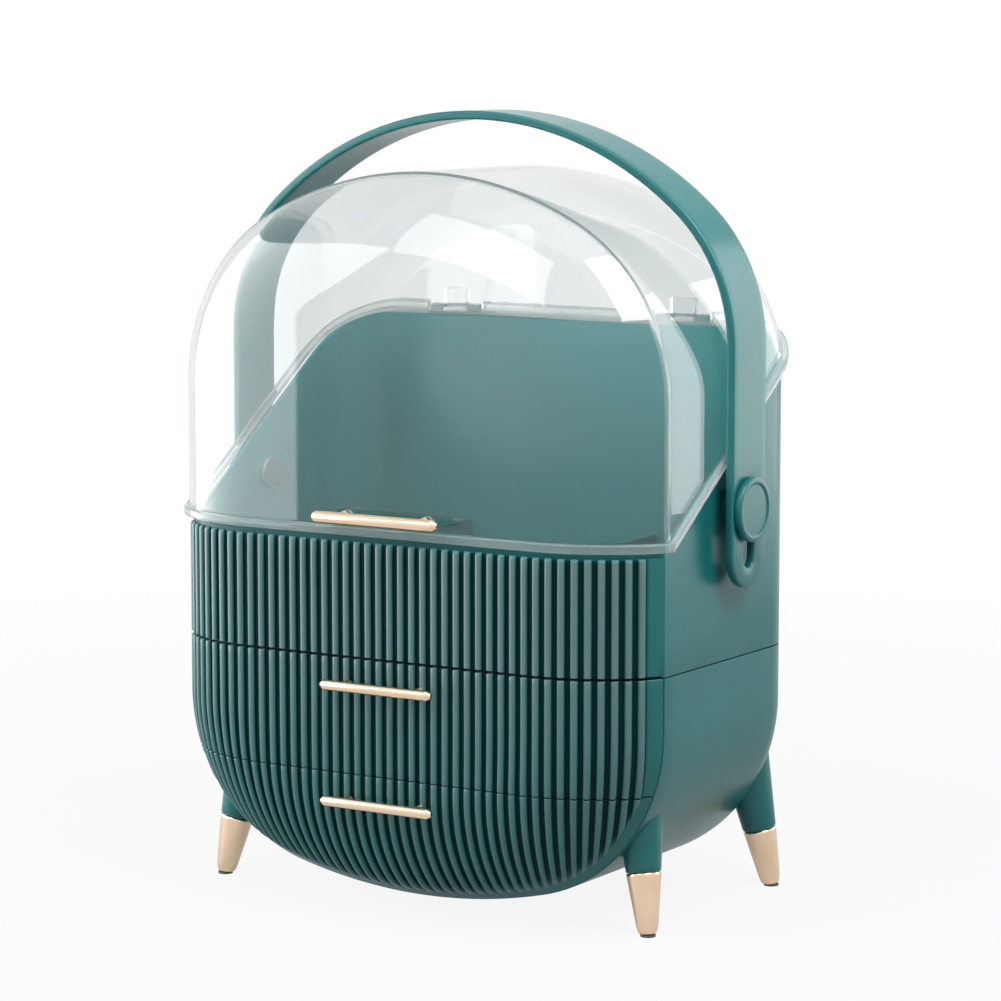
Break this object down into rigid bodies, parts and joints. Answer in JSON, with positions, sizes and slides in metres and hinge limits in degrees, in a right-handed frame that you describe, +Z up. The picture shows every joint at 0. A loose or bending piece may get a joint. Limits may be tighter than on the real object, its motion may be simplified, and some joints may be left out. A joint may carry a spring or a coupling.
{
  "type": "cosmetics organizer",
  "caption": "Round-bottomed cosmetics organizer on splayed legs: ribbed drawers, open tray under a clear hinged hood, and a folding carry handle.",
  "frame": {"origin": "on the ground, under the middle of the bounding box", "axes": "+Z up; the drawers and the hood's pull face -Y; +X is to the right when seen from the front"},
  "size_m": [0.3148, 0.195, 0.4045],
  "materials": {
    "shell_green": "satin dark teal-green moulded plastic",
    "inner_green": "matte dark green moulded plastic",
    "clear_hood": "clear polished plastic",
    "rose_gold": "polished rose-gold plating",
    "steel": "plain zinc-plated steel",
    "pad_rubber": "matte black rubber"
  },
  "bodies": {
    "case": {"cabinet_shell": "shell_green", "drawer_shelf": "inner_green", "tray_shell": "shell_green", "tray_front": "shell_green", "tray_divider_long": "inner_green", "tray_divider_cross": "inner_green", "leg_front_left": "shell_green", "leg_front_right": "shell_green", "leg_back_left": "shell_green", "leg_back_right": "shell_green", "foot_tip_front_left": "rose_gold", "foot_tip_front_right": "rose_gold", "foot_tip_back_left": "rose_gold", "foot_tip_back_right": "rose_gold", "foot_pads": "pad_rubber", "leg_screws": "steel", "tray_screws": "steel", "hinge_brackets": "shell_green", "hinge_pins": "steel", "pivot_bushes": "inner_green"},
    "drawer_upper": {"drawer_box_upper": "inner_green", "drawer_front_upper": "shell_green", "drawer_pull_upper": "rose_gold", "pull_screws_upper": "steel"},
    "drawer_lower": {"drawer_box_lower": "inner_green", "drawer_front_lower": "shell_green", "drawer_pull_lower": "rose_gold", "pull_screws_lower": "steel"},
    "hood": {"hood_shell": "clear_hood", "hood_pull": "rose_gold", "hood_pull_screws": "steel", "hood_hinge_lugs": "clear_hood"},
    "handle_pivot": {"pivot_stud_left": "steel", "pivot_stud_right": "steel", "pivot_knob_left": "shell_green", "pivot_knob_right": "shell_green"},
    "handle": {"handle_bow": "shell_green"}
  },
  "joints": [
    {"name": "drawer_upper_slide", "type": "slide", "parent": "case", "child": "drawer_upper", "axis": [0, -1, 0], "range_m": [0, 0.1]},
    {"name": "drawer_lower_slide", "type": "slide", "parent": "case", "child": "drawer_lower", "axis": [0, -1, 0], "range_m": [0, 0.1]},
    {"name": "hood_hinge", "type": "hinge", "parent": "case", "child": "hood", "pos_m": [0, 0.09355, 0.29309], "axis": [-1, 0, 0], "range_deg": [0, 80]},
    {"name": "handle_fold", "type": "hinge", "parent": "case", "child": "handle_pivot", "pos_m": [0, 0.01205, 0.2085], "axis": [-1, 0, 0], "range_deg": [0, 140]},
    {"name": "handle_lift", "type": "slide", "parent": "handle_pivot", "child": "handle", "axis": [0, 0, 1], "range_m": [0, 0.024]}
  ],
  "couplings": [
    {"joint": "handle_fold", "follows": "hood_hinge", "ratio": 1.75}
  ]
}
